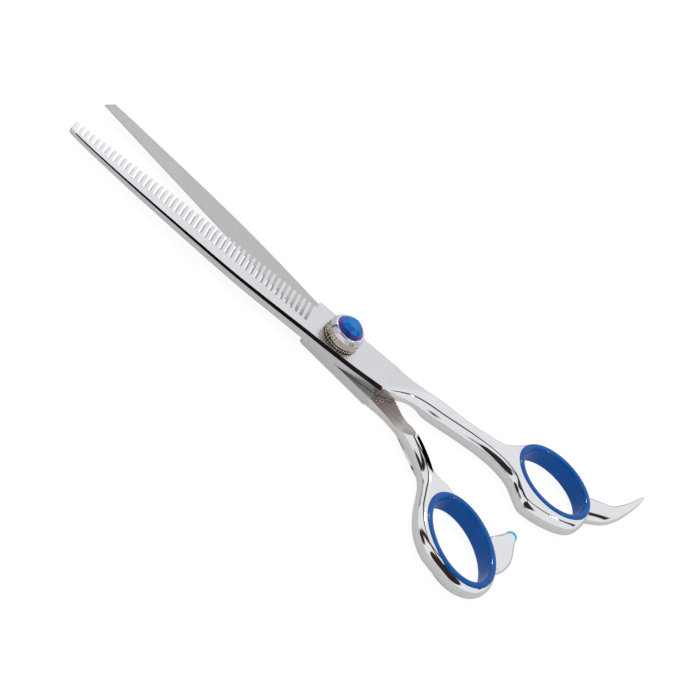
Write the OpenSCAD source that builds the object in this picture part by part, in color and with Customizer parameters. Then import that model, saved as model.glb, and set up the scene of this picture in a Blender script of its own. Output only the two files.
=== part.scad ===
// Thinning shears: a toothed half and a plain half turning on a jewelled tension screw.
// Origin on the pivot axis at the surface they lie on, +Z up through the tension dial,
// blade tips towards -X and finger rings towards +X. Each half is drawn in its own frame,
// with its blade along -X, and the comb half is then turned by the rest opening.

/* [Opening] */
// Angle of the comb half from the plain half as the shears lie open
rest_open = 11.4; // [4:0.2:30]

/* [Blades] */
// Thickness of each half at the pivot
blade_t = 2.8; // [2:0.1:4]
// Thickness of each blade at its tip
tip_t = 1.3; // [0.8:0.1:2]
// Distance from the pivot axis to the plain blade's tip
blade_reach = 89.8; // [70:0.1:120]
// How much further the comb blade reaches
comb_extra = 2.6; // [0:0.1:4]
// Angle of the plain blade's bevel
edge_angle = 24; // [15:1:45]
// Thickness left at the plain blade's edge
edge_t = 0.25; // [0.15:0.05:0.6]
// Gap between the inner faces of the two halves
blade_gap = 0.1; // [0.05:0.01:0.3]

/* [Teeth] */
// Number of gaps between the comb's teeth
gap_count = 46; // [20:1:60]
// Width of the gap between two teeth
tooth_gap = 0.95; // [0.6:0.05:1.3]
// Solid width left at the comb's tip
end_tooth = 1.3; // [0.8:0.1:4]
// Solid width left between the last gap and the heel
heel_tooth = 1.1; // [0.2:0.1:3]
// Distance from the pivot axis to the heel where the teeth start
heel_x = 9.6; // [8:0.1:14]
// Depth of the tooth roots below the pivot line
root_y = 3.5; // [2.8:0.1:4.5]

/* [Handles] */
// Length that the handles have past the ricasso, as a stretch in millimetres
handle_shift = 0; // [-6:0.5:12]
// Thickness of the handles
handle_t = 5.7; // [5:0.1:8]
// Rounding of the handles' edges
edge_round = 2.3; // [1:0.1:2.6]
// Length of the concave ramp from a half's inner face up to its full handle
ramp_len = 7; // [4:0.5:14]
// Where the ramp starts
ramp_x = 26; // [17:0.5:32]

/* [Rings] */
// Finger insert's opening, along and across
finger_bore = [22, 19]; // [16:0.5:24]
// Thumb insert's opening, along and across
thumb_bore = [27, 18.8]; // [16:0.5:30]
// Wall of an insert where it passes through its ring
insert_wall = 0.9; // [0.6:0.1:1.4]
// How far an insert's upper lip stands out over the ring
insert_lip = 1; // [0.6:0.1:1.6]
// How far an insert's lower lip stands out over the ring
lower_lip = 0.4; // [0.2:0.1:1.2]
// Thickness of an insert's lip
lip_t = 0.85; // [0.5:0.05:1.2]
// Height that an insert stands proud of the handles on each side
insert_proud = 0.25; // [0.2:0.05:0.8]
// Metal outside an insert's lip
ring_wall = 1.1; // [0.8:0.1:2]

/* [Pivot] */
// Radius of the pivot screw's shank
screw_r = 2; // [1.5:0.1:2.5]
// Radius of the pivot screw's flat head
head_r = 4; // [3:0.1:5]
// Thickness of the screw's head
head_t = 1.1; // [0.8:0.1:1.6]
// Width across the flats of the screw's square neck
neck_w = 3.4; // [2.6:0.1:3.8]
// Width across the two flats on the screw's thread
flat_w = 3.2; // [2.4:0.1:3.6]
// Wall of the pivot bushing
bush_wall = 0.9; // [0.6:0.1:1.4]
// Thickness of the washer between the halves
washer_t = 0.5; // [0.3:0.05:0.8]
// Radius of the washer between the halves
washer_r = 4.6; // [4.2:0.1:6]
// Running clearance on a radius
run_fit = 0.03; // [0.01:0.01:0.08]
// Clearance between pieces that are pressed or keyed together
seat_fit = 0.02; // [0:0.01:0.05]

/* [Tension dial] */
// Radius of the two knurled tiers
dial_r = 5.4; // [4.5:0.1:7]
// Depth of the round seat in the comb half that the lower tier stands in
seat_depth = 0.6; // [0.3:0.05:0.9]
// Height of the lower knurled tier
ring_h = 0.9; // [0.9:0.05:2]
// Height of the upper knurled tier
dial_h = 2.1; // [1.8:0.1:4]
// Gap between the lower tier and the floor of its seat
dial_gap = 0.25; // [0.2:0.05:0.5]
// Thickness of the click plate in the groove between the tiers
click_t = 0.4; // [0.2:0.05:0.8]
// Number of flutes round each tier
flute_count = 36; // [12:1:60]
// Depth of a flute
flute_depth = 0.22; // [0.1:0.02:0.4]
// Height of the polished cap above the dial
cap_h = 1.7; // [1:0.05:2.5]
// Radius of the stone at its girdle
gem_r = 4.1; // [3:0.1:4.3]
// Height of the stone's crown
gem_h = 2.1; // [1:0.1:3]
// Number of facets round the stone
gem_sides = 12; // [8:1:16]

/* [Bumper] */
// Radius of the bumper
bumper_r = 1.8; // [1.2:0.1:2]
// Height of the bumper above the lug
bumper_h = 1.5; // [1:0.05:3]
// Length of the bumper's stem in the lug
stem_len = 2; // [1:0.1:3]

/* [Hidden] */
$fn = 64;
big = 300;
eps = 0.01;

// Heights, from the surface that the shears lie on
half_h = handle_t / 2;
insert_h = half_h + insert_proud;
mid_z = insert_h;
mate_z = mid_z - blade_gap / 2;
plain_z = mate_z - blade_t;
comb_z = mate_z + blade_gap;
comb_top = comb_z + blade_t;
seat_z = comb_top - seat_depth;

// Pivot stack
washer_sink = (washer_t - blade_gap) / 2;
washer_z = mate_z - washer_sink;
well_r = dial_r - 0.75;
slide_r = well_r - 0.25;
bush_r = screw_r + bush_wall;
bush_flange_r = bush_r + 11 / 15 * (slide_r - bush_r);
bush_flange_t = 0.4;
slide_t = 0.3;
spring_z = seat_z + slide_t;
spring_h = 0.45;
spring_t = 0.25;
spring_r = well_r - 0.45;
ring_z = seat_z + dial_gap;
web_z = spring_z + spring_h;
click_z = ring_z + ring_h;
click_r = dial_r - 0.7;
dial_z = click_z + click_t;
cap_z = dial_z + dial_h;
cap_web = 0.5;
travel_down = 0.125;
screw_top = cap_z - cap_web - travel_down - 0.12;
neck_fit = neck_w + 2 * seat_fit;
girdle = 0.3;
cap_floor = cap_h - girdle + 0.1;
seat_r = dial_r + 0.2;

// Ring centres, each in its own half's frame
finger_at = [74 + handle_shift, 14.6];
finger_tilt = -rest_open;
thumb_at = [61.4 + handle_shift, -22.9];
thumb_tilt = -45;

// Semi-axes of a ring's surfaces, outwards from its opening
function seat_axes(bore) = bore / 2 + [insert_wall, insert_wall];
function lip_axes(bore, lip = insert_lip) = seat_axes(bore) + [lip, lip];
function rim_axes(bore) = lip_axes(bore) + [ring_wall, ring_wall];
function on_oval(at, axes, tilt, a) =
    at + [axes[0] * cos(a) * cos(tilt) - axes[1] * sin(a) * sin(tilt),
          axes[0] * cos(a) * sin(tilt) + axes[1] * sin(a) * cos(tilt)];
function oval_arc(at, axes, tilt, from, to, count) =
    [for (i = [0:count]) on_oval(at, axes, tilt, from + (to - from) * i / count)];

// Smooth curve through points: one span, then open and closed runs
function span(a, b, c, d, t) =
    0.5 * (2 * b + (c - a) * t + (2 * a - 5 * b + 4 * c - d) * t * t
        + (3 * b - a - 3 * c + d) * t * t * t);
function closed_curve(p, steps) =
    let (n = len(p))
    [for (i = [0:n - 1], k = [0:steps - 1])
        span(p[(i + n - 1) % n], p[i], p[(i + 1) % n], p[(i + 2) % n], k / steps)];
function open_curve(p, steps) =
    let (n = len(p))
    [for (i = [0:n - 2], k = [0:(i == n - 2 ? steps : steps - 1)])
        span(p[max(i - 1, 0)], p[i], p[i + 1], p[min(i + 2, n - 1)], k / steps)];
function unit(v) = v / norm(v);
function left_of(v) = [-v[1], v[0]];
function clamp01(t) = max(0, min(1, t));
function ease(t) = t * t * (3 - 2 * t);

// Edge rounding grows from nearly none at the ricasso to its full size on the handle
round_x = ramp_x - 10;
round_len = 11;
function round_at(x) = 0.25 + (edge_round - 0.25) * ease(clamp01((x - round_x) / round_len));

// Closed solid with rounded upper and lower edges; its outline runs clockwise at mid height
module forged(outline) {
    n = len(outline);
    turns = [-90, -60, -35, -12, 12, 35, 60, 90];
    inward = [for (i = [0:n - 1]) -left_of(unit(outline[(i + 1) % n] - outline[(i + n - 1) % n]))];
    pts = [for (a = turns, i = [0:n - 1])
        let (p = outline[i] + inward[i] * round_at(outline[i][0]) * (1 - cos(a)))
        [p[0], p[1], mid_z + half_h * sin(a)]];
    top = len(turns) - 1;
    sides = [for (k = [0:top - 1], i = [0:n - 1])
        [k * n + i, k * n + (i + 1) % n, (k + 1) * n + (i + 1) % n, (k + 1) * n + i]];
    polyhedron(pts, concat(sides, [[for (i = [n - 1:-1:0]) i]],
        [[for (i = [0:n - 1]) top * n + i]]));
}

// Tapering horn of oval sections along a path of [x, y, half width, half height]
module horn(path) {
    n = len(path);
    m = 16;
    pts = [for (i = [0:n - 1])
        let (run = path[min(i + 1, n - 1)] - path[max(i - 1, 0)])
        let (side = left_of(unit([run[0], run[1]])))
        for (k = [0:m - 1])
        let (a = 360 * k / m)
        [path[i][0] + side[0] * path[i][2] * cos(a), path[i][1] + side[1] * path[i][2] * cos(a),
            mid_z + path[i][3] * sin(a)]];
    sides = [for (i = [0:n - 2], k = [0:m - 1])
        [i * m + k, (i + 1) * m + k, (i + 1) * m + (k + 1) % m, i * m + (k + 1) % m]];
    polyhedron(pts, concat(sides, [[for (k = [0:m - 1]) k]],
        [[for (k = [m - 1:-1:0]) (n - 1) * m + k]]));
}

// Upright oval prism between two heights
module oval(at, axes, tilt, z0, z1) {
    translate([at[0], at[1], z0])
        rotate([0, 0, tilt])
        scale([axes[0], axes[1], 1])
        cylinder(r = 1, h = z1 - z0);
}

// Room for an insert in a ring: the bore and the seats of the two lips
module insert_room(at, bore, tilt) {
    oval(at, seat_axes(bore) + [seat_fit, seat_fit], tilt, -1, handle_t + 2);
    oval(at, lip_axes(bore, lower_lip) + [seat_fit, seat_fit], tilt, -1, mid_z - insert_h + lip_t + seat_fit);
    oval(at, lip_axes(bore) + [seat_fit, seat_fit], tilt, mid_z + insert_h - lip_t - seat_fit, handle_t + 2);
}

// Ring insert: a tube with a lip on each side
module ring_insert(at, bore, tilt) {
    low = mid_z - insert_h;
    high = mid_z + insert_h;
    difference() {
        union() {
            oval(at, seat_axes(bore), tilt, low, high);
            oval(at, lip_axes(bore, lower_lip), tilt, low, low + lip_t);
            oval(at, lip_axes(bore), tilt, high - lip_t, high);
        }
        oval(at, bore / 2, tilt, low - 1, high + 1);
    }
}

// Wheel-ground relief of a half's inner side: flat to ramp_x, then a concave ramp.
// side is 1 to clear what is above the face at height z and -1 to clear what is below
module inner_relief(z, side) {
    depth = half_h + 1;
    wheel_r = (ramp_len * ramp_len + half_h * half_h) / (2 * half_h);
    translate([ramp_x - big, -big / 2, side > 0 ? z : z - depth])
        cube([big, big, depth]);
    translate([ramp_x, 0, z + side * wheel_r])
        rotate([90, 0, 0])
        cylinder(r = wheel_r, h = 60, center = true, $fn = 96);
}

taper_x = -heel_x + 0.35;

// Slab that thins a blade from the heel to the tip; side as for inner_relief
module taper_cut(z, side, reach) {
    slope = atan((blade_t - tip_t) / (reach + taper_x));
    translate([taper_x, 0, z])
        rotate([0, -side * slope, 0])
        translate([-big, -big / 2, side > 0 ? 0 : -10])
        cube([big, big, 10]);
}

// ---- comb half, in its own frame ----
comb_reach = blade_reach + comb_extra;
comb_sx = comb_reach / 92.4;
tip_line = open_curve([[-heel_x, 3.9], [-30, 3.4], [-50, 2.6], [-71, 1.2], [-comb_reach, -0.4]], 4);
comb_back = open_curve([[-comb_reach + 1, -4.9], [-85 * comb_sx, -5.8], [-70 * comb_sx, -7],
    [-50 * comb_sx, -8], [-32 * comb_sx, -8.5], [-9, -7.7], [0, -7.2], [9, -6.4], [17, -5.3]], 3);
comb_outline = concat([[-heel_x, 7.2]], tip_line, [[-comb_reach - 0.1, -3.8], [-comb_reach + 0.3, -4.7]],
    comb_back, [[17.6, -5], [18, -4.4], [17.5, 7.3]]);

function along(p) = [for (q = p) [q[0] + handle_shift, q[1]]];
comb_handle = closed_curve(concat(
    [[16, 7.4], [22, 8.2], [28, 9.6], [34, 10.9]],
    along([[43, 11.6], [50.4, 12.9], [55.2, 14.2], [58.2, 16.6]]),
    oval_arc(finger_at, rim_axes(finger_bore), finger_tilt, 165, 0, 11),
    along([[86, 5.8], [82.6, 2.2], [77, -0.5], [71.6, -1.8], [68.3, -1.6], [65.5, 0.8],
        [62.2, 4.2], [57.4, 5.8], [52.3, 5.9], [47, 5.1]]),
    [[41.7, 4.1], [36.4, 3], [32, 2.3], [28.9, 1.6], [25.7, 0.4], [22.2, -1.9], [19.5, -3.8],
        [16, -4.6], [13, 0], [13, 5]]), 3);
finger_rest = open_curve([[84 + handle_shift, 16, 4.6, 2.9], [90.5 + handle_shift, 20.7, 3.9, 2.6],
    [94.8 + handle_shift, 25, 2.4, 2.1], [98 + handle_shift, 30.9, 1.5, 1.5],
    [100.4 + handle_shift, 36.6, 0.95, 1.1], [101.9 + handle_shift, 41.3, 0.35, 0.5]], 3);

// Slots between the teeth, square to the comb's back
module tooth_slots() {
    first = -comb_reach + end_tooth + tooth_gap / 2;
    pitch = (-heel_x - heel_tooth - tooth_gap / 2 - first) / (gap_count - 1);
    for (i = [0:gap_count - 1])
        translate([first + i * pitch, -root_y, comb_z - 1]) {
            cylinder(r = tooth_gap / 2, h = blade_t + 2, $fn = 16);
            translate([-tooth_gap / 2, 0, 0])
                cube([tooth_gap, 12, blade_t + 2]);
        }
}

module comb_blade() color("#c9cbcf") rotate([0, 0, rest_open]) {
    difference() {
        union() {
            difference() {
                translate([0, 0, comb_z])
                    linear_extrude(blade_t)
                    polygon(comb_outline);
                taper_cut(comb_top, 1, comb_reach);
                tooth_slots();
            }
            difference() {
                union() {
                    forged(comb_handle);
                    horn(finger_rest);
                }
                inner_relief(comb_z, -1);
                insert_room(finger_at, finger_bore, finger_tilt);
            }
        }
        translate([0, 0, comb_z - 1])
            cylinder(r = bush_r + seat_fit, h = blade_t + 2);
        translate([0, 0, seat_z - bush_flange_t])
            cylinder(r = bush_flange_r + seat_fit, h = 1);
        translate([0, 0, seat_z])
            cylinder(r = seat_r, h = 1 + seat_depth);
        translate([0, 0, comb_z - 1])
            cylinder(r = washer_r + 0.1, h = 1 + washer_sink);
    }
}

// ---- plain half, in its own frame ----
plain_sx = blade_reach / 89.8;
plain_back = open_curve([[-blade_reach + 1.6, 2.2], [-80 * plain_sx, 3.3], [-57 * plain_sx, 5.8],
    [-36 * plain_sx, 7.5], [-11, 8], [0, 7.6], [10, 6.6], [17.4, 5.1]], 3);
plain_outline = concat([[-blade_reach, -1.4]], plain_back, [[17.4, -5.3], [10, -5.8], [2, -6.4],
    [-6.2, -7], [-7, -6.6], [-7.2, -5.8], [-7.6, -1.9], [-40 * plain_sx, -1.9]]);
plain_handle = closed_curve(concat(
    [[13, 3.6], [16.6, 4.85], [22, 3.2], [27, 0.6], [32, -1.8], [36, -4.2], [41, -7.2]],
    along([[45, -8.7], [49, -8.6]]),
    oval_arc(thumb_at, rim_axes(thumb_bore), thumb_tilt, 165, -45, 14),
    along([[57.3, -36.5], [53.3, -34.2], [50, -30.8], [47, -25.7], [44.9, -20.4]]),
    [[42.8, -15.4], [40, -11.8], [35, -8.2], [30, -6.1], [24, -5.1], [16.6, -4.95], [13, -3.7]]), 3);
lug_tip = [71 + handle_shift, -1.5];
lug = open_curve([[71 + handle_shift, -15.5, 5.4, 2.7], [71 + handle_shift, -12.5, 5.2, 2.7],
    [71 + handle_shift, -9, 4.5, 2.6], [71 + handle_shift, -5, 3, 2.3],
    [lug_tip[0], lug_tip[1], bumper_r + 0.05, bumper_r + 0.05]], 3);

// Bevel under the cutting edge, running out onto the blade's lower face
module edge_bevel() {
    translate([-7.5, -1.9, mate_z - edge_t])
        rotate([-edge_angle, 0, 0])
        translate([-big, -0.3, -10])
        cube([big, 30, 10]);
}

module plain_blade() color("#b9bbbd") difference() {
    union() {
        difference() {
            translate([0, 0, plain_z])
                linear_extrude(blade_t)
                polygon(plain_outline);
            taper_cut(plain_z, -1, blade_reach);
            edge_bevel();
        }
        difference() {
            union() {
                forged(plain_handle);
                horn(lug);
            }
            inner_relief(mate_z, 1);
            insert_room(thumb_at, thumb_bore, thumb_tilt);
            translate([lug_tip[0], lug_tip[1] + eps, mid_z])
                rotate([90, 0, 0])
                cylinder(r = stem_r + seat_fit, h = stem_len + 0.2);
        }
    }
    translate([0, 0, -1])
        cylinder(r = head_r + seat_fit, h = 1 + head_t + seat_fit);
    translate([-neck_fit / 2, -neck_fit / 2, 0])
        cube([neck_fit, neck_fit, mate_z + 1]);
    translate([0, 0, washer_z])
        cylinder(r = washer_r + 0.1, h = 1);
}
stem_r = bumper_r / 2;

module finger_insert() color("#0b4f94") rotate([0, 0, rest_open])
    ring_insert(finger_at, finger_bore, finger_tilt);

module thumb_insert() color("#0b4f94")
    ring_insert(thumb_at, thumb_bore, thumb_tilt);

module bumper() color("#2a9cc4")
    translate([lug_tip[0], lug_tip[1] + eps, mid_z])
    rotate([-90, 0, 0])
    rotate_extrude()
    polygon(concat([[0, -stem_len], [stem_r, -stem_len], [stem_r, 0], [bumper_r, 0]],
        [for (a = [10:10:90]) [bumper_r * cos(a), bumper_h * sin(a)]]));

// ---- pivot ----
module screw_flats(z0, z1, width) {
    for (s = [-1, 1])
        translate([s > 0 ? width / 2 : -big - width / 2, -big / 2, z0])
            cube([big, big, z1 - z0]);
}

module pivot_screw() color("#b0b2b6") union() {
    cylinder(r = head_r, h = head_t);
    translate([-neck_w / 2, -neck_w / 2, head_t - eps])
        cube([neck_w, neck_w, washer_z - head_t + eps]);
    difference() {
        translate([0, 0, washer_z])
            cylinder(r = screw_r, h = screw_top - washer_z);
        screw_flats(seat_z, big, flat_w);
    }
}

module pivot_bushing() color("#b08d4a") difference() {
    union() {
        translate([0, 0, comb_z + washer_sink])
            cylinder(r = bush_r, h = seat_z - comb_z - washer_sink);
        translate([0, 0, seat_z - bush_flange_t])
            cylinder(r = bush_flange_r, h = bush_flange_t);
    }
    cylinder(r = screw_r + run_fit, h = big);
}

module flat_washer(z, t, r) {
    translate([0, 0, z])
        difference() {
            cylinder(r = r, h = t);
            translate([0, 0, -1])
                cylinder(r = screw_r + run_fit, h = t + 2);
        }
}

module blade_washer() color("#e8e6df") flat_washer(washer_z, washer_t, washer_r);

module slide_washer() color("#b08d4a") flat_washer(seat_z, slide_t, slide_r);

module disc_spring() color("#8a8c90")
    translate([0, 0, spring_z])
    rotate_extrude()
    polygon([[screw_r + 0.3, spring_h - spring_t], [spring_r, 0], [spring_r, spring_t],
        [screw_r + 0.3, spring_h]]);

// ---- tension dial ----
module fluted(z, h) {
    translate([0, 0, z])
        difference() {
            cylinder(r = dial_r, h = h);
            for (i = [0:flute_count - 1])
                rotate([0, 0, 360 * i / flute_count])
                translate([dial_r + 0.35 - flute_depth, 0, -1])
                cylinder(r = 0.35, h = h + 2, $fn = 16);
        }
}

// Round hole with two flats that keys a piece to the screw
module keyed_hole(z0, z1) {
    difference() {
        translate([0, 0, z0])
            cylinder(r = screw_r + run_fit, h = z1 - z0);
        screw_flats(z0 - 1, z1 + 1, flat_w + 2 * run_fit);
    }
}

module detent_ring() color("#c4bfb8") difference() {
    fluted(ring_z, ring_h);
    translate([0, 0, ring_z - 1])
        cylinder(r = well_r, h = web_z - ring_z + 1);
    keyed_hole(ring_z - 1, click_z + 1);
}

module click_plate() color("#2b2624") difference() {
    translate([0, 0, click_z])
        cylinder(r = click_r, h = click_t);
    keyed_hole(click_z - 1, dial_z + 1);
}

module tension_dial() color("#c4bfb8") difference() {
    fluted(dial_z, dial_h);
    cylinder(r = screw_r + run_fit, h = cap_z);
    translate([0, 0, cap_z - cap_web])
        cylinder(r = gem_r - 0.4 + seat_fit, h = 1);
}

// Smooth cone that narrows to a rounded lip round the stone
module dial_cap() color("#d8d8dc")
    translate([0, 0, cap_z])
    rotate_extrude()
    polygon(concat([[0, 0], [0, -cap_web], [gem_r - 0.4, -cap_web], [gem_r - 0.4, 0], [dial_r, 0],
        [dial_r, 0.25]],
        [for (a = [0:15:90]) [gem_r + 0.25 + lip_round * cos(a), cap_h - lip_round + lip_round * sin(a)]],
        [[gem_r + seat_fit, cap_h], [gem_r + seat_fit, cap_floor],
            [gem_r - 0.6, cap_floor], [gem_r - 0.6, 0]]));
lip_round = 0.5;

// Stone: straight girdle with a faceted crown that narrows to a small table
module gem() color("#0a5fc0") {
    levels = [[gem_r, 0], [gem_r, girdle], [0.86 * gem_r, girdle + 0.5 * gem_h],
        [0.5 * gem_r, girdle + gem_h]];
    pts = [for (l = levels, i = [0:gem_sides - 1])
        [l[0] * cos(360 * i / gem_sides), l[0] * sin(360 * i / gem_sides), l[1]]];
    top = len(levels) - 1;
    translate([0, 0, cap_z + cap_floor])
        polyhedron(pts, concat(
            [for (k = [0:top - 1], i = [0:gem_sides - 1])
                [k * gem_sides + i, (k + 1) * gem_sides + i,
                    (k + 1) * gem_sides + (i + 1) % gem_sides, k * gem_sides + (i + 1) % gem_sides]],
            [[for (i = [0:gem_sides - 1]) i]],
            [[for (i = [gem_sides - 1:-1:0]) top * gem_sides + i]]));
}

comb_blade();
plain_blade();
finger_insert();
thumb_insert();
bumper();
pivot_screw();
pivot_bushing();
blade_washer();
slide_washer();
disc_spring();
detent_ring();
click_plate();
tension_dial();
dial_cap();
gem();
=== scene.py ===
import bmesh
import bpy
import math
from mathutils import Matrix, Vector


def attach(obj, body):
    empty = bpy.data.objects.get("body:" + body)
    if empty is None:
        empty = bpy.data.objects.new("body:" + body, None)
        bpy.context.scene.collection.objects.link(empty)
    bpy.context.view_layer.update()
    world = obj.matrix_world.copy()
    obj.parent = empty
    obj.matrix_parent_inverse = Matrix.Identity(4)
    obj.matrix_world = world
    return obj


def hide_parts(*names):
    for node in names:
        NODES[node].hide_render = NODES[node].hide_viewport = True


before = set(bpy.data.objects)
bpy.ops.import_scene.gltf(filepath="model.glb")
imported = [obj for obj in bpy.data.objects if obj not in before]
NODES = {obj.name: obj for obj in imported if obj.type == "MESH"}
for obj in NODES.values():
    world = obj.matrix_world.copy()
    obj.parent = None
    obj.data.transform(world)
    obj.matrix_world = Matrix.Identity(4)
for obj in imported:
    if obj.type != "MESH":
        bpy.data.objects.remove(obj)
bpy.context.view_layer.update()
MM = 0.001

# ------------------------------------------------------------ sizes, in mm, as in the CAD
REST_OPEN = 11.4
MID_Z, HALF_H = 3.1, 2.85
BLADE_T, TIP_T = 2.8, 1.3
PLAIN_Z, MATE_Z, COMB_Z, COMB_TOP, SEAT_Z = 0.25, 3.05, 3.15, 5.95, 5.35
BLADE_REACH, COMB_REACH = 89.8, 92.4
RAMP_X, RAMP_LEN = 26.0, 7.0
ROUND_X, ROUND_LEN = 16.0, 11.0
EDGE_ROUND = 2.3
SHANK_ROUND = 0.65
FINGER_AT, FINGER_TILT, FINGER_BORE = (74.0, 14.6), -REST_OPEN, (11.0, 9.5)
THUMB_AT, THUMB_TILT, THUMB_BORE = (61.4, -22.9), -45.0, (13.5, 9.4)
WALL, LIP, LOW_LIP, LIP_T, RING_WALL = 0.9, 1.0, 0.4, 0.85, 1.1
INSERT_TALL = 6.2
DIAL_R, GEM_R, WELL_R, KEY_R = 5.4, 4.1, 4.65, 2.03
HEEL_X, TAPER_X = -9.6, -9.25
GAP_COUNT, GAP_W, GAP_FLOOR, TIP_TOOTH, HEEL_TOOTH = 46, 0.95, -3.5, 1.3, 1.1
BUMPER_R, BUMPER_H, BUMPER_AT = 1.8, 1.5, (71, -1.49)
FLUTES, FLUTE_DEPTH = 36, 0.24

# ------------------------------------------------------------ light and camera
FLOOR_GREY, FLOOR_GLOW, FLOOR_GLOW_IN_METAL = 0.12, 0.90, 0.42
TENT, CARD = (0.80, 0.81, 0.83, 1), (0.03, 0.02, 0.018, 1)
# dark strips of the tent: across, where, half width, soft edge, lowest height
DARK_STRIPS = [((-0.35, 1, 0), 0.16, 0.09, 0.07, 0.3), ((1, 0.6, 0), -0.30, 0.045, 0.04, 0.35)]
# dark round cards: direction, inner and outer angle in degrees
DARK_CARDS = [((-1, -0.35, 0.22), 11, 17), ((0.1, -0.83, 0.56), 28, 33)]
CAMERA_TURN, CAMERA_TILT, CAMERA_FAR = 46.9, 34.3, 1.090
CAMERA_AIM = (4.15, 1.20, 4.87)
SENSOR, LENS = 36, 206.485714


# ------------------------------------------------------------ curves
def span(a, b, c, d, t):
    return tuple(0.5 * (2 * q + (r - p) * t + (2 * p - 5 * q + 4 * r - s) * t * t
                        + (3 * q - p - 3 * r + s) * t ** 3) for p, q, r, s in zip(a, b, c, d))


def open_curve(p, steps):
    n = len(p)
    out = []
    for i in range(n - 1):
        for k in range(steps + (1 if i == n - 2 else 0)):
            out.append(span(p[max(i - 1, 0)], p[i], p[i + 1], p[min(i + 2, n - 1)], k / steps))
    return out


def closed_curve(p, steps):
    n = len(p)
    return [span(p[i - 1], p[i], p[(i + 1) % n], p[(i + 2) % n], k / steps)
            for i in range(n) for k in range(steps)]


def on_oval(at, axes, tilt, a):
    c, s = math.cos(math.radians(tilt)), math.sin(math.radians(tilt))
    x, y = axes[0] * math.cos(math.radians(a)), axes[1] * math.sin(math.radians(a))
    return (at[0] + x * c - y * s, at[1] + x * s + y * c)


def oval_arc(at, axes, tilt, start, end, count):
    return [on_oval(at, axes, tilt, start + (end - start) * i / count) for i in range(count + 1)]


def grow(axes, by):
    return (axes[0] + by, axes[1] + by)


def rim(bore):
    return grow(bore, WALL + LIP + RING_WALL)


def ease(t):
    t = max(0.0, min(1.0, t))
    return t * t * (3 - 2 * t)


# ------------------------------------------------------------ meshes
def mesh(name, verts, faces):
    me = bpy.data.meshes.new(name)
    me.from_pydata([(x * MM, y * MM, z * MM) for x, y, z in verts], [], faces)
    me.validate()
    ob = bpy.data.objects.new(name, me)
    bpy.context.scene.collection.objects.link(ob)
    return ob


def outward(ob):
    bm = bmesh.new()
    bm.from_mesh(ob.data)
    bmesh.ops.recalc_face_normals(bm, faces=bm.faces)
    bm.to_mesh(ob.data)
    bm.free()
    return ob


def prism(name, outline, z0, z1):
    n = len(outline)
    v = [(x, y, z0) for x, y in outline] + [(x, y, z1) for x, y in outline]
    f = [list(range(n)), list(range(n, 2 * n))]
    f += [[i, (i + 1) % n, n + (i + 1) % n, n + i] for i in range(n)]
    return outward(mesh(name, v, f))


def oval_prism(name, at, axes, tilt, z0, z1, count=160):
    return prism(name, [on_oval(at, axes, tilt, 360 * i / count) for i in range(count)], z0, z1)


def stacked(name, rings, caps=True):
    """Skin through rings of equal length."""
    n = len(rings[0])
    v = [p for r in rings for p in r]
    f = [[k * n + i, k * n + (i + 1) % n, (k + 1) * n + (i + 1) % n, (k + 1) * n + i]
         for k in range(len(rings) - 1) for i in range(n)]
    if caps:
        f += [list(range(n)), list(range((len(rings) - 1) * n, len(rings) * n))]
    return outward(mesh(name, v, f))


def forged(name, outline, turns=18):
    n = len(outline)
    rings = []
    for k in range(turns + 1):
        a = -90 + 180 * k / turns
        ring = []
        for i in range(n):
            p, q, r = outline[i - 1], outline[i], outline[(i + 1) % n]
            dx, dy = r[0] - p[0], r[1] - p[1]
            size = math.hypot(dx, dy)
            shank = SHANK_ROUND * ease((q[0] - 24) / 8) * (1 - ease((q[0] - 44) / 10))
            reach = 0.25 + (EDGE_ROUND + shank - 0.25) * ease((q[0] - ROUND_X) / ROUND_LEN)
            step = reach * (1 - math.cos(math.radians(a))) / size
            ring.append((q[0] + dy * step, q[1] - dx * step, MID_Z + HALF_H * math.sin(math.radians(a))))
        rings.append(ring)
    return stacked(name, rings)


def horn(name, path, around=40):
    rings = []
    n = len(path)
    for i, (x, y, w, h) in enumerate(path):
        a, b = path[max(i - 1, 0)], path[min(i + 1, n - 1)]
        dx, dy = b[0] - a[0], b[1] - a[1]
        s = math.hypot(dx, dy)
        rings.append([(x - dy / s * w * math.cos(t), y + dx / s * w * math.cos(t), MID_Z + h * math.sin(t))
                      for t in (2 * math.pi * k / around for k in range(around))])
    return stacked(name, rings)


def lathe(name, profile, at=(0, 0), around=128, wobble=None):
    """Closed profile of (radius, height) turned about Z; wobble changes the radius by angle and height."""
    v, f = [], []
    n = len(profile)
    for k in range(around):
        a = 2 * math.pi * k / around
        for r, z in profile:
            r2 = r + (wobble(a, r, z) if wobble else 0)
            v.append((at[0] + r2 * math.cos(a), at[1] + r2 * math.sin(a), z))
    for k in range(around):
        for i in range(n):
            f.append([k * n + i, k * n + (i + 1) % n, ((k + 1) % around) * n + (i + 1) % n,
                      ((k + 1) % around) * n + i])
    return outward(mesh(name, v, f))


def volume(me):
    bm = bmesh.new()
    bm.from_mesh(me)
    v = bm.calc_volume(signed=True)
    bm.free()
    return v


def combine(target, tools, how):
    before = volume(target.data)
    for t in tools:
        m = target.modifiers.new("cut", "BOOLEAN")
        m.operation = how
        m.solver = "MANIFOLD"
        m.object = t
    bpy.context.view_layer.update()
    dg = bpy.context.evaluated_depsgraph_get()
    me = bpy.data.meshes.new_from_object(target.evaluated_get(dg))
    target.modifiers.clear()
    target.data = me
    after = volume(me)
    if not 0.3 * before < after < 4 * before:
        raise RuntimeError(f"{target.name}: {how} went from {before * 1e9:.0f} to {after * 1e9:.0f} mm3")
    for t in tools:
        bpy.data.objects.remove(t)
    return target


def turn(ob, deg):
    ob.data.transform(Matrix.Rotation(math.radians(deg), 4, "Z"))
    return ob


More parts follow.
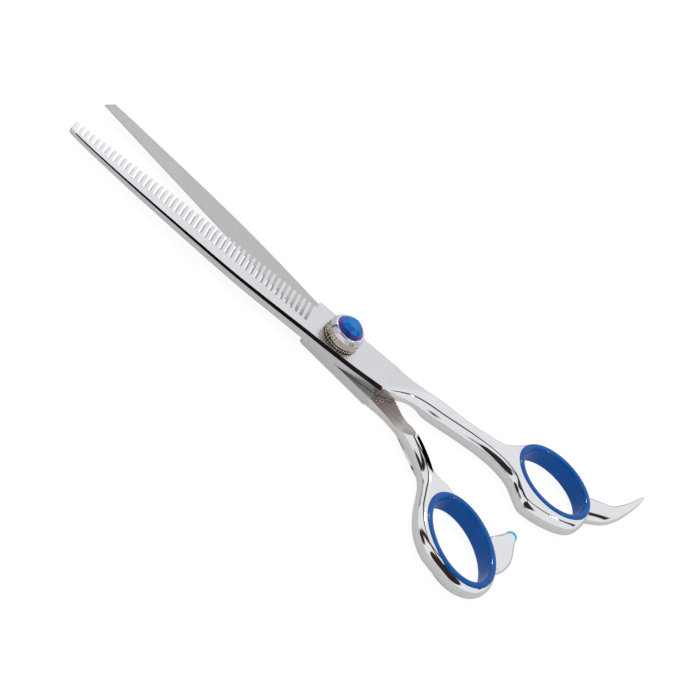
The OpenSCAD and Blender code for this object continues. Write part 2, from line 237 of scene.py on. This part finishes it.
def finish_piece(ob, body, mat, nodes=(), angle=30):
    ob.data.materials.clear()
    ob.data.materials.append(mat)
    for p in ob.data.polygons:
        p.use_smooth = True
    ob.data.set_sharp_from_angle(angle=math.radians(angle))
    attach(ob, body)
    if nodes:
        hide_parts(*nodes)
    return ob


# ------------------------------------------------------------ materials
def material(name, base, metallic, rough, coat=0.0):
    m = bpy.data.materials.new(name)
    m.use_nodes = True
    nt = m.node_tree
    b = nt.nodes["Principled BSDF"]
    b.inputs["Base Color"].default_value = (*base, 1)
    b.inputs["Metallic"].default_value = metallic
    b.inputs["Roughness"].default_value = rough
    b.inputs["Coat Weight"].default_value = coat
    b.inputs["Coat Roughness"].default_value = 0.04
    return m, nt, b


def textured(name, base, dark, metallic, rough, spread, scale, stretch, bump, coat=0.0, depth=0.00002,
             gloss=0.5):
    """Base colour, roughness and bump varied by stretched noise in object space."""
    m, nt, b = material(name, base, metallic, rough, coat)
    b.inputs["Specular IOR Level"].default_value = gloss
    tc = nt.nodes.new("ShaderNodeTexCoord")
    mp = nt.nodes.new("ShaderNodeMapping")
    mp.inputs["Scale"].default_value = stretch
    nt.links.new(tc.outputs["Object"], mp.inputs["Vector"])
    fine = nt.nodes.new("ShaderNodeTexNoise")
    fine.inputs["Scale"].default_value = scale
    fine.inputs["Detail"].default_value = 5
    nt.links.new(mp.outputs["Vector"], fine.inputs["Vector"])
    wear = nt.nodes.new("ShaderNodeTexNoise")
    wear.inputs["Scale"].default_value = 140
    wear.inputs["Detail"].default_value = 3
    nt.links.new(tc.outputs["Object"], wear.inputs["Vector"])
    ramp = nt.nodes.new("ShaderNodeValToRGB")
    ramp.color_ramp.elements[0].position = 0.3
    ramp.color_ramp.elements[0].color = (*dark, 1)
    ramp.color_ramp.elements[1].position = 0.7
    ramp.color_ramp.elements[1].color = (*base, 1)
    nt.links.new(fine.outputs["Fac"], ramp.inputs["Fac"])
    nt.links.new(ramp.outputs["Color"], b.inputs["Base Color"])
    mr = nt.nodes.new("ShaderNodeMapRange")
    mr.inputs["To Min"].default_value = max(0.0, rough - spread)
    mr.inputs["To Max"].default_value = rough + spread
    nt.links.new(wear.outputs["Fac"], mr.inputs["Value"])
    nt.links.new(mr.outputs["Result"], b.inputs["Roughness"])
    bp = nt.nodes.new("ShaderNodeBump")
    bp.inputs["Strength"].default_value = bump
    bp.inputs["Distance"].default_value = depth
    nt.links.new(fine.outputs["Fac"], bp.inputs["Height"])
    nt.links.new(bp.outputs["Normal"], b.inputs["Normal"])
    return m


satin = textured("satin_blade_steel", (0.78, 0.79, 0.80), (0.74, 0.75, 0.77), 1.0, 0.26, 0.05, 2600,
                 (0.12, 1, 1), 0.06)
ground = textured("brushed_ground_steel", (0.60, 0.60, 0.59), (0.54, 0.54, 0.53), 1.0, 0.20, 0.04, 3200,
                  (1, 0.15, 1), 0.10)
chrome = textured("mirror_chrome", (0.94, 0.94, 0.95), (0.90, 0.90, 0.91), 1.0, 0.05, 0.02, 300,
                  (1, 1, 1), 0.01)
# the bevel along the comb's back is painted near black: a painted dark reflection, not the steel's own colour
chamfer_painted_reflection = textured("chamfer_painted_dark_reflection", (0.05, 0.027, 0.026), (0.022, 0.012, 0.013), 1.0, 0.25, 0.06, 700,
                  (0.1, 1, 1), 0.05)
ramp_mat = textured("wheel_ground_ramp", (0.52, 0.49, 0.46), (0.26, 0.235, 0.22), 1.0, 0.30, 0.07, 420,
                    (0.25, 1, 1), 0.2)
blue = textured("glossy_blue_insert", (0.0, 0.075, 0.30), (0.0, 0.058, 0.25), 0.0, 0.12, 0.03, 500,
                (1, 1, 1), 0.02, 0.15, gloss=0.15)
cyan = textured("glossy_cyan_bumper", (0.0, 0.38, 0.60), (0.0, 0.30, 0.50), 0.0, 0.3, 0.04, 600,
                (1, 1, 1), 0.03, 0.0, gloss=0.2)
nickel = textured("warm_nickel", (0.80, 0.73, 0.62), (0.58, 0.50, 0.42), 1.0, 0.17, 0.06, 700,
                  (1, 1, 1), 0.06)
# the click plate is painted near black: painted shade of the groove between the detent ring and the dial
dark = textured("click_plate_painted_groove_shade", (0.05, 0.04, 0.035), (0.03, 0.024, 0.022), 0.8, 0.38, 0.08, 600,
                (1, 1, 1), 0.1)
polished = textured("polished_bezel", (0.82, 0.83, 0.86), (0.76, 0.76, 0.80), 1.0, 0.07, 0.03, 400,
                    (1, 1, 1), 0.02)
bronze = textured("bronze", (0.62, 0.42, 0.20), (0.50, 0.33, 0.15), 1.0, 0.28, 0.08, 800, (1, 1, 1), 0.1)
white = textured("white_washer", (0.85, 0.84, 0.80), (0.78, 0.77, 0.73), 0.0, 0.45, 0.08, 700,
                 (1, 1, 1), 0.1)
screw_mat = textured("screw_steel", (0.62, 0.63, 0.65), (0.50, 0.51, 0.53), 1.0, 0.24, 0.06, 900,
                     (1, 1, 1), 0.08)
spring_mat = textured("spring_steel", (0.45, 0.46, 0.48), (0.35, 0.36, 0.38), 1.0, 0.30, 0.06, 900,
                      (1, 1, 1), 0.08)
# one blue stone in four tones: painted reflection and shade, given to facets by which way they face
gem_facet_painted_reflections = [textured("gem_" + n, c, d, 0.0, 0.06, 0.03, 350, (1, 1, 1), 0.02, 0.0, gloss=0.35)
            for n, c, d in (("azure", (0.0, 0.155, 0.47), (0.0, 0.11, 0.39)),
                            ("blue", (0.0, 0.085, 0.36), (0.0, 0.06, 0.29)),
                            ("violet", (0.09, 0.035, 0.36), (0.06, 0.02, 0.26)), ("navy",
                                    (0.015, 0.03, 0.22), (0.01, 0.02, 0.15)))]


def place_mask(nt, offset, normal, soft, turned=0.0):
    """1 on the side of a line that normal points to; positions are in mm in a half's own frame."""
    tc = nt.nodes.new("ShaderNodeTexCoord")
    vm = nt.nodes.new("ShaderNodeVectorMath")
    vm.operation = "DOT_PRODUCT"
    n = Vector(normal).normalized()
    n.rotate(Matrix.Rotation(math.radians(turned), 3, "Z"))
    vm.inputs[1].default_value = n
    nt.links.new(tc.outputs["Object"], vm.inputs[0])
    mr = nt.nodes.new("ShaderNodeMapRange")
    mr.interpolation_type = "SMOOTHSTEP"
    mr.inputs["From Min"].default_value = (offset - soft) * MM
    mr.inputs["From Max"].default_value = (offset + soft) * MM
    nt.links.new(vm.outputs["Value"], mr.inputs["Value"])
    return mr.outputs["Result"]


def multiply(nt, a, b):
    m = nt.nodes.new("ShaderNodeMath")
    m.operation = "MULTIPLY"
    nt.links.new(a, m.inputs[0])
    nt.links.new(b, m.inputs[1])
    return m.outputs[0]


def blend_colour(m, mask, colour, rough):
    """Over the mask, colour and roughness replace the material's own."""
    nt = m.node_tree
    b = nt.nodes["Principled BSDF"]
    for name, value in (("Base Color", colour), ("Roughness", rough)):
        src = b.inputs[name].links[0].from_socket
        mix = nt.nodes.new("ShaderNodeMix")
        if name == "Base Color":
            mix.data_type = "RGBA"
            nt.links.new(src, mix.inputs[6])
            mix.inputs[7].default_value = (*value, 1)
            out = mix.outputs[2]
        else:
            nt.links.new(src, mix.inputs[2])
            mix.inputs[3].default_value = value
            out = mix.outputs[0]
        nt.links.new(mask, mix.inputs[0])
        nt.links.new(out, b.inputs[name])


# painted shade: the ramp is darker where the wheel starts, blended in along x
rnt = ramp_mat.node_tree
blend_colour(ramp_mat, place_mask(rnt, -25.0, (-1, 0, 0), 5.0), (0.20, 0.155, 0.135), 0.30)

# the ground face of the comb runs out onto the polished handle along a slanting line
comb_chrome = textured("comb_chrome", (0.94, 0.94, 0.95), (0.90, 0.90, 0.91), 1.0, 0.05, 0.02, 300,
                       (1, 1, 1), 0.01)
cnt = comb_chrome.node_tree
slant = place_mask(cnt, -15.0, (-1, 1, 0), 1.2, REST_OPEN)
blend_colour(comb_chrome, multiply(cnt, slant, place_mask(cnt, -33.0, (-1, 0, 0), 2.5, REST_OPEN)),
             (0.77, 0.78, 0.79), 0.26)

# ------------------------------------------------------------ comb half (own frame, turned to rest at the end)
tip_line = open_curve([(HEEL_X, 3.9), (-30, 3.4), (-50, 2.6), (-71, 1.2), (-COMB_REACH, -0.4)], 10)
comb_back = open_curve([(-COMB_REACH + 1, -4.9), (-85, -5.8), (-70, -7), (-50, -8), (-32, -8.5), (-9, -7.7),
                        (0, -7.2), (9, -6.4), (17, -5.3)], 10)
comb_outline = [(HEEL_X, 7.2)] + tip_line + [(-COMB_REACH - 0.1, -3.8),
                                             (-COMB_REACH + 0.3, -4.7)] + comb_back \
    + [(17.6, -5), (18, -4.4), (17.5, 7.3)]
comb_handle = closed_curve(
    [(16, 7.4), (22, 8.2), (28, 9.6), (34, 10.9), (43, 11.6), (50.4, 12.9), (55.2, 14.2), (58.2, 16.6)]
    + oval_arc(FINGER_AT, rim(FINGER_BORE), FINGER_TILT, 165, 0, 11)
    + [(86, 5.8), (82.6, 2.2), (77, -0.5), (71.6, -1.8), (68.3, -1.6), (65.5, 0.8), (62.2, 4.2),
       (57.4, 5.8),
       (52.3, 5.9), (47, 5.1), (41.7, 4.1), (36.4, 3), (32, 2.3), (28.9, 1.6), (25.7, 0.4), (22.2, -1.9),
       (19.5, -3.8), (16, -4.6), (13, 0), (13, 5)], 8)
finger_rest = open_curve([(84, 16, 4.6, 2.9), (90.5, 20.7, 3.9, 2.6), (94.8, 25, 2.4, 2.1),
                          (98, 30.9, 1.5, 1.5),
                          (100.4, 36.6, 0.95, 1.1), (101.9, 41.3, 0.35, 0.5)], 8)


def box_tool(name, x0, x1, y0, y1, z0, z1):
    return prism(name, [(x0, y0), (x0, y1), (x1, y1), (x1, y0)], z0, z1)


def taper_tool(name, z, side, reach):
    """Wedge that thins a blade towards its tip."""
    slope = (BLADE_T - TIP_T) / (reach + TAPER_X)
    x0, x1 = TAPER_X, -140.0
    zz = z - side * slope * (x0 - x1)
    far = z + side * 8
    v = [(x, y, h) for y in (-40, 40) for x, h in ((x0, z), (x1, zz), (x1, far), (x0, far))]
    return outward(mesh(name, v, [[0, 1, 2, 3], [4, 5, 6, 7], [0, 1, 5, 4], [1, 2, 6, 5], [2, 3, 7, 6],
                                  [3, 0, 4, 7]]))


def relief_tool(name, z, side):
    """What is cleared on the inner side: all of it ahead of the ramp, then a concave wheel-ground ramp."""
    wheel = (RAMP_LEN ** 2 + HALF_H ** 2) / (2 * HALF_H)
    pts = [(-60, z), (RAMP_X, z)]
    for i in range(1, 33):
        x = RAMP_LEN * i / 32 * 1.12
        pts.append((RAMP_X + x, z + side * (wheel - math.sqrt(max(0, wheel ** 2 - x ** 2)))))
    pts += [(pts[-1][0], z + side * 9), (-60, z + side * 9)]
    n = len(pts)
    v = [(x, -60, h) for x, h in pts] + [(x, 60, h) for x, h in pts]
    f = [list(range(n)), list(range(n, 2 * n))] + [[i, (i + 1) % n, n + (i + 1) % n, n + i]
                                                   for i in range(n)]
    return outward(mesh(name, v, f))


def room_tools(at, bore, tilt):
    low, seat, high = WALL + LOW_LIP + 0.02, WALL + 0.02, WALL + LIP + 0.02
    steps = [(low, -1), (low, LIP_T + 0.02), (seat, LIP_T + 0.021), (seat, INSERT_TALL - LIP_T - 0.021),
             (high, INSERT_TALL - LIP_T - 0.02), (high, 8)]
    return [stacked("t_room", [[(*on_oval(at, grow(bore, off), tilt, 360 * (i + 0.37) / 160), z)
                                for i in range(160)]
                               for off, z in steps])]


def disc(name, r, z0, z1):
    return oval_prism(name, (0, 0), (r, r), 0, z0, z1, 96)


def slots():
    """The gaps between the teeth, round at the bottom."""
    gap, count = GAP_W, GAP_COUNT
    first = -COMB_REACH + TIP_TOOTH + gap / 2
    pitch = (HEEL_X - HEEL_TOOTH - gap / 2 - first) / (count - 1)
    v, f = [], []
    for i in range(count):
        x = first + i * pitch
        loop = [(x - gap / 2, 10), (x - gap / 2, GAP_FLOOR)]
        loop += [(x + gap / 2 * math.cos(math.radians(a)), GAP_FLOOR + gap / 2 * math.sin(math.radians(a)))
                 for a in range(200, 341, 20)]
        loop += [(x + gap / 2, GAP_FLOOR), (x + gap / 2, 10)]
        s, n = len(v), len(loop)
        v += [(p[0], p[1], 1) for p in loop] + [(p[0], p[1], 8) for p in loop]
        f += [[s + k for k in range(n)], [s + n + k for k in range(n)]]
        f += [[s + k, s + (k + 1) % n, s + n + (k + 1) % n, s + n + k] for k in range(n)]
    return outward(mesh("t_slots", v, f))


def back_chamfer():
    """Wedge that leaves a narrow bevel along the comb's upper back edge."""
    rings = []
    for x, y in comb_back[2:]:
        t = (x + COMB_REACH) / (17 + COMB_REACH)
        w = 0.24 + 0.7 * t
        top = COMB_TOP - max(0.0, TAPER_X - x) * (BLADE_T - TIP_T) / (COMB_REACH + TAPER_X)
        rings.append([(x, y - 0.5, top - w * 1.0 - 0.5), (x, y + w, top + 0.0), (x, y + w + 0.2, top + 0.6),
                      (x, y - 0.9, top + 0.6)])
    return stacked("t_chamfer", rings)


comb = prism("comb_half_metal", comb_outline, COMB_Z, COMB_TOP)
combine(comb, [taper_tool("t1", COMB_TOP, 1, COMB_REACH), slots(), back_chamfer()], "DIFFERENCE")
handle = forged("comb_handle", comb_handle)
combine(handle, [horn("rest", finger_rest)], "UNION")
combine(handle, [relief_tool("t2", COMB_Z, -1)] + room_tools(FINGER_AT, FINGER_BORE, FINGER_TILT),
        "DIFFERENCE")
combine(comb, [handle], "UNION")
combine(comb, [disc("t3", 2.92, 2, 8), disc("t4", 4.02, 4.95, 6.4), disc("t5", 5.6, SEAT_Z, 8),
               disc("t6", 4.7, 2, 3.35)], "DIFFERENCE")

# ------------------------------------------------------------ plain half
plain_back = open_curve([(-BLADE_REACH + 1.6, 2.2), (-80, 3.3), (-57, 5.8), (-36, 7.5), (-11, 8), (0, 7.6),
                         (10, 6.6), (17.4, 5.1)], 10)
plain_outline = [(-BLADE_REACH, -1.4)] + plain_back + [(17.4, -5.3), (10, -5.8), (2, -6.4), (-6.2, -7),
                                                       (-7, -6.6),
                                                       (-7.2, -5.8), (-7.6, -1.9), (-40, -1.9)]
plain_handle = closed_curve(
    [(13, 3.6), (16.6, 4.85), (22, 3.2), (27, 0.6), (32, -1.8), (36, -4.2), (41, -7.2), (45, -8.7),
     (49, -8.6)]
    + oval_arc(THUMB_AT, rim(THUMB_BORE), THUMB_TILT, 165, -45, 14)
    + [(57.3, -36.5), (53.3, -34.2), (50, -30.8), (47, -25.7), (44.9, -20.4), (42.8, -15.4),
       (40, -11.8), (35, -8.2),
       (30, -6.1), (24, -5.1), (16.6, -4.95), (13, -3.7)], 8)
lug_path = open_curve([(69.3, -20.5, 4.4, 2.5), (70.3, -16, 5.1, 2.65), (70.9, -12.5, 5.0, 2.7),
                       (71, -9, 4.4, 2.6),
                       (71, -5.2, 2.9, 2.25), (71, -2.3, 1.9, 1.85)], 8)


def bevel_tool():
    a = math.radians(24)
    z = MATE_Z - 0.25
    pts = [(-1.9, z), (-1.9 + 30 * math.cos(a), z - 30 * math.sin(a)),
           (-1.9 + 30 * math.cos(a) - 10 * math.sin(a), z - 30 * math.sin(a) - 10 * math.cos(a)),
           (-1.9 - 10 * math.sin(a), z - 10 * math.cos(a))]
    v = [(-120, y, h) for y, h in pts] + [(-7.5, y, h) for y, h in pts]
    return outward(mesh("t_bevel", v, [[0, 1, 2, 3], [4, 5, 6, 7]]
                        + [[i, (i + 1) % 4, 4 + (i + 1) % 4, 4 + i] for i in range(4)]))


plain = prism("plain_half_metal", plain_outline, PLAIN_Z, MATE_Z)
combine(plain, [taper_tool("t1", PLAIN_Z, -1, BLADE_REACH), bevel_tool()], "DIFFERENCE")
thandle = forged("plain_handle", plain_handle)
combine(thandle, [horn("lug", lug_path)], "UNION")
combine(thandle, [relief_tool("t2", MATE_Z, 1)] + room_tools(THUMB_AT, THUMB_BORE, THUMB_TILT),
        "DIFFERENCE")
combine(plain, [thandle], "UNION")
combine(plain, [disc("t3", 4.02, -1, 1.12), box_tool("t4", -1.72, 1.72, -1.72, 1.72, 0, 5),
                disc("t5", 4.7, 2.825, 4)],
        "DIFFERENCE")


def sort_faces(ob, rules):
    """rules: (material, test on centre in mm and normal); the first that fits is used."""
    mats = [r[0] for r in rules]
    ob.data.materials.clear()
    for m in mats:
        ob.data.materials.append(m)
    for p in ob.data.polygons:
        c = [v / MM for v in p.center]
        for i, (m, test) in enumerate(rules):
            if test(c, p.normal):
                p.material_index = i
                break


def ramp_height(x):
    wheel = (RAMP_LEN ** 2 + HALF_H ** 2) / (2 * HALF_H)
    return MATE_Z + wheel - math.sqrt(max(0.0, wheel ** 2 - max(0.0, x - RAMP_X) ** 2))


sort_faces(comb, [
    # the comb's back bevel faces get the painted dark reflection
    (chamfer_painted_reflection, lambda c, n: c[0] < 17.3 and 0.3 < n[2] < 0.95 and n[1] < -0.3 and c[1] < -3),
    (satin, lambda c, n: c[0] < 16.5),
    (comb_chrome, lambda c, n: True)])
sort_faces(plain, [
    (ramp_mat, lambda c,
     n: 17.4 < c[0] and n[2] > 0.3 and c[2] < 5.93 and abs(c[2] - ramp_height(c[0])) < 0.03),
    (ground, lambda c, n: c[0] < 19.2 and n[2] > 0.9),
    (satin, lambda c, n: c[0] < 17.8),
    (chrome, lambda c, n: True)])
turn(comb, REST_OPEN)


def finish_half(ob, body, node):
    for p in ob.data.polygons:
        p.use_smooth = True
    ob.data.set_sharp_from_angle(angle=math.radians(28))
    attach(ob, body)
    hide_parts(node)


finish_half(comb, "comb_half", "comb_blade")
finish_half(plain, "plain_half", "plain_blade")


# ------------------------------------------------------------ inserts
def insert(name, at, bore, tilt):
    """Tube with a rounded lip on each side and a soft inner edge."""
    prof = [(0.0, 0.75), (0.18, 0.3), (0.5, 0.06), (WALL - 0.15, 0.0)]
    prof += [(WALL + LOW_LIP - 0.12, 0.02), (WALL + LOW_LIP, 0.16), (WALL + LOW_LIP, LIP_T)]
    prof += [(WALL, LIP_T), (WALL, INSERT_TALL - LIP_T)]
    prof += [(WALL + LIP, INSERT_TALL - LIP_T), (WALL + LIP, 5.92), (WALL + LIP - 0.12, 6.11),
             (WALL + LIP - 0.4, INSERT_TALL)]
    prof += [(0.62, INSERT_TALL), (0.3, 6.12), (0.1, 5.92), (0.0, 5.55), (0.05, 3.1)]
    rings = [[(*on_oval(at, grow(bore, off), tilt, 360 * i / 160), z) for i in range(160)] for off,
             z in prof]
    n = 160
    v = [p for r in rings for p in r]
    f = [[k * n + i, k * n + (i + 1) % n, ((k + 1) % len(rings)) * n + (i + 1) % n,
          ((k + 1) % len(rings)) * n + i]
         for k in range(len(rings)) for i in range(n)]
    return outward(mesh(name, v, f))


finish_piece(turn(insert("finger_ring_insert", FINGER_AT, FINGER_BORE, FINGER_TILT), REST_OPEN),
             "comb_half", blue, ["finger_insert"], 50)
finish_piece(insert("thumb_ring_insert", THUMB_AT, THUMB_BORE, THUMB_TILT), "plain_half",
             blue,
             ["thumb_insert"], 50)

# ------------------------------------------------------------ bumper
dome = [math.radians(a) for a in range(6, 91, 6)]
bp = [(0.001, -2.0), (0.9, -2.0), (0.9, -0.8), (1.72, -0.8), (BUMPER_R, -0.7), (BUMPER_R, 0.0)]
bp += [(BUMPER_R * math.cos(a) + 0.001, BUMPER_H * math.sin(a)) for a in dome]
bump = lathe("thumb_bumper", bp, around=72)
bump.data.transform(Matrix.Translation((BUMPER_AT[0] * MM, BUMPER_AT[1] * MM,
                                        MID_Z * MM)) @ Matrix.Rotation(math.radians(-90), 4, "X"))
finish_piece(bump, "plain_half", cyan, ["bumper"], 50)


# ------------------------------------------------------------ tension dial
def knurl(count, depth):
    def wobble(a, r, z):
        return -depth * (0.5 + 0.5 * math.cos(a * count)) if r > 4.9 else 0
    return wobble


ring_prof = [(WELL_R, 5.6), (5.25, 5.6), (DIAL_R, 5.72), (DIAL_R, 6.38), (5.25, 6.5), (KEY_R, 6.5),
             (KEY_R, 6.1), (WELL_R, 6.1)]
finish_piece(lathe("detent_ring_knurled", ring_prof, around=FLUTES * 10,
                   wobble=knurl(FLUTES, FLUTE_DEPTH)), "thrust_ring",
             nickel, ["detent_ring"], 35)
dial_prof = [(KEY_R, 6.9), (5.2, 6.9), (5.38, 7.05), (DIAL_R, 7.9), (5.38, 8.85), (5.25, 9.0),
             (3.72, 9.0), (3.72, 8.5),
             (KEY_R, 8.5)]
finish_piece(lathe("tension_dial_knurled", dial_prof, around=FLUTES * 10,
                   wobble=knurl(FLUTES, FLUTE_DEPTH)), "dial", nickel,
             ["tension_dial"], 35)
cap_prof = [(3.7, 8.5), (3.7, 9.0), (5.32, 9.0), (DIAL_R, 9.08), (5.38, 9.26), (4.85, 10.2)]
cap_prof += [(4.35 + 0.5 * math.cos(math.radians(a)), 10.2 + 0.5 * math.sin(math.radians(a)))
             for a in range(10, 91, 10)]
cap_prof += [(4.12, 10.68), (4.12, 10.5), (3.5, 10.5), (3.5, 8.5)]
finish_piece(lathe("bezel", cap_prof), "dial", polished, ["dial_cap"], 40)


def cut_stone():
    """Girdle, two staggered rows of crown facets and a table."""
    levels = [(GEM_R, 10.5, 0), (GEM_R, 10.8, 0), (0.85 * GEM_R, 11.85, 0.5), (0.5 * GEM_R, 12.9, 0)]
    n = 12
    v, f = [], []
    for r, z, off in levels:
        v += [(r * math.cos(2 * math.pi * (i + off) / n), r * math.sin(2 * math.pi * (i + off) / n), z)
              for i in range(n)]
    f.append([i for i in range(n)])
    f += [[i, (i + 1) % n, n + (i + 1) % n, n + i] for i in range(n)]
    for k in range(1, 3):
        a, b = k * n, (k + 1) * n
        out = levels[k][2] == 0
        for i in range(n):
            j = (i + 1) % n
            if out:
                f += [[a + i, a + j, b + i], [a + j, b + j, b + i]]
            else:
                f += [[a + i, a + j, b + j], [a + i, b + j, b + i]]
    f.append([3 * n + i for i in range(n)])
    return outward(mesh("cut_gem", v, f))


stone = cut_stone()
finish_piece(stone, "dial", gem_facet_painted_reflections[0], ["gem"], 2)
for extra in gem_facet_painted_reflections[1:]:
    stone.data.materials.append(extra)
# painted reflection: table and top facets azure and blue, facets facing -y navy, facets facing +-x violet, the
# rest blue
for face in stone.data.polygons:
    a = math.degrees(math.atan2(face.center[1], face.center[0])) % 360
    if face.normal[2] > 0.97:
        face.material_index = 0
    elif face.center[2] > 12.05 * MM:
        face.material_index = (0, 0, 1)[face.index % 3]
    else:
        face.material_index = 2 if 130 < a < 235 or a > 320 or a < 20 else (3 if 235 <= a <= 320 else 1)

# ------------------------------------------------------------ CAD nodes that stay
# the click plate gets the near-black painted groove shade; the other parts keep their own colours
for node, mat in (("pivot_screw", screw_mat), ("pivot_bushing", bronze), ("blade_washer", white),
                  ("slide_washer", bronze), ("disc_spring", spring_mat), ("click_plate", dark)):
    ob = NODES[node]
    ob.data.materials.clear()
    ob.data.materials.append(mat)

# ------------------------------------------------------------ floor, light, camera
floor = mesh("floor", [(-3000, -3000, 0), (3000, -3000, 0), (3000, 3000, 0), (-3000, 3000, 0)],
             [[0, 1, 2, 3]])
fm, fnt, fb = material("pale_floor", (0.92, 0.92, 0.92), 0.0, 0.9)
fb.inputs["Base Color"].default_value = (FLOOR_GREY, FLOOR_GREY, FLOOR_GREY, 1)
fb.inputs["Specular IOR Level"].default_value = 0.0
fb.inputs["Emission Color"].default_value = (1, 1, 1, 1)
see = fnt.nodes.new("ShaderNodeLightPath")
calm = fnt.nodes.new("ShaderNodeMapRange")
calm.inputs["To Min"].default_value = FLOOR_GLOW
calm.inputs["To Max"].default_value = FLOOR_GLOW_IN_METAL
fnt.links.new(see.outputs["Is Glossy Ray"], calm.inputs["Value"])
fnt.links.new(calm.outputs["Result"], fb.inputs["Emission Strength"])
floor.data.materials.append(fm)


def studio_world():
    """Soft bright tent; what shines sees a few dark panels in it."""
    w = bpy.data.worlds.new("studio")
    bpy.context.scene.world = w
    w.use_nodes = True
    nt = w.node_tree
    bg = nt.nodes["Background"]
    tc = nt.nodes.new("ShaderNodeTexCoord")
    sep = nt.nodes.new("ShaderNodeSeparateXYZ")
    nt.links.new(tc.outputs["Generated"], sep.inputs["Vector"])

    def panel(direction, inner, outer):
        dot = nt.nodes.new("ShaderNodeVectorMath")
        dot.operation = "DOT_PRODUCT"
        dot.inputs[1].default_value = Vector(direction).normalized()
        nt.links.new(tc.outputs["Generated"], dot.inputs[0])
        mr = nt.nodes.new("ShaderNodeMapRange")
        mr.inputs["From Min"].default_value = math.cos(math.radians(outer))
        mr.inputs["From Max"].default_value = math.cos(math.radians(inner))
        nt.links.new(dot.outputs["Value"], mr.inputs["Value"])
        return mr.outputs["Result"]

    def total(a, b):
        m = nt.nodes.new("ShaderNodeMath")
        m.operation = "MAXIMUM"
        nt.links.new(a, m.inputs[0])
        nt.links.new(b, m.inputs[1])
        return m.outputs[0]

    def strip(across, at, half, soft, lowest):
        """Dark strip of the tent: directions whose part along across is near at, above the height lowest."""
        dot = nt.nodes.new("ShaderNodeVectorMath")
        dot.operation = "DOT_PRODUCT"
        dot.inputs[1].default_value = Vector(across).normalized()
        nt.links.new(tc.outputs["Generated"], dot.inputs[0])
        off = nt.nodes.new("ShaderNodeMath")
        off.operation = "SUBTRACT"
        nt.links.new(dot.outputs["Value"], off.inputs[0])
        off.inputs[1].default_value = at
        size = nt.nodes.new("ShaderNodeMath")
        size.operation = "ABSOLUTE"
        nt.links.new(off.outputs[0], size.inputs[0])
        mr = nt.nodes.new("ShaderNodeMapRange")
        mr.inputs["From Min"].default_value = half + soft
        mr.inputs["From Max"].default_value = half
        nt.links.new(size.outputs[0], mr.inputs["Value"])
        up = nt.nodes.new("ShaderNodeMapRange")
        up.inputs["From Min"].default_value = lowest
        up.inputs["From Max"].default_value = lowest + 0.08
        nt.links.new(sep.outputs["Z"], up.inputs["Value"])
        m = nt.nodes.new("ShaderNodeMath")
        m.operation = "MULTIPLY"
        nt.links.new(mr.outputs["Result"], m.inputs[0])
        nt.links.new(up.outputs["Result"], m.inputs[1])
        return m.outputs[0]

    mask = strip(*DARK_STRIPS[0])
    for values in DARK_STRIPS[1:]:
        mask = total(mask, strip(*values))
    for values in DARK_CARDS:
        mask = total(mask, panel(*values))
    mix = nt.nodes.new("ShaderNodeMix")
    mix.data_type = "RGBA"
    mix.inputs[6].default_value = TENT
    mix.inputs[7].default_value = CARD
    nt.links.new(mask, mix.inputs[0])
    path = nt.nodes.new("ShaderNodeLightPath")
    pick = nt.nodes.new("ShaderNodeMix")
    pick.data_type = "RGBA"
    pick.inputs[6].default_value = (1.0, 1.0, 1.0, 1)
    nt.links.new(path.outputs["Is Glossy Ray"], pick.inputs[0])
    nt.links.new(mix.outputs[2], pick.inputs[7])
    nt.links.new(pick.outputs[2], bg.inputs["Color"])
    bg.inputs["Strength"].default_value = 1.0


studio_world()
bpy.context.scene.view_settings.view_transform = "Standard"


def area(name, at, size, power, aim=(0, 0, 0)):
    d = bpy.data.lights.new(name, "AREA")
    d.shape = "DISK"
    d.size = size
    d.energy = power
    o = bpy.data.objects.new(name, d)
    bpy.context.scene.collection.objects.link(o)
    o.location = at
    o.rotation_euler = (Vector(aim) - Vector(at)).to_track_quat("-Z", "Y").to_euler()


area("key", (-0.35, 0.55, 0.75), 0.10, 2.2)
area("spark", (0.5, 0.25, 0.8), 0.05, 0.8)

phi, el = math.radians(CAMERA_TURN), math.radians(CAMERA_TILT)
X, U = Vector((1, 0, 0)), Vector((0, math.sin(el), math.cos(el)))
fwd = Vector((0, math.cos(el), -math.sin(el)))
right = math.cos(phi) * X + math.sin(phi) * U
up = -math.sin(phi) * X + math.cos(phi) * U
cam_data = bpy.data.cameras.new("camera")
cam_data.sensor_width = SENSOR
cam_data.lens = LENS
cam_data.clip_start, cam_data.clip_end = 0.01, 20
cam = bpy.data.objects.new("camera", cam_data)
bpy.context.scene.collection.objects.link(cam)
aim = Vector(CAMERA_AIM) * MM
pos = aim - fwd * CAMERA_FAR
m = Matrix((right, up, -fwd)).transposed().to_4x4()
m.translation = pos
cam.matrix_world = m
bpy.context.scene.camera = cam
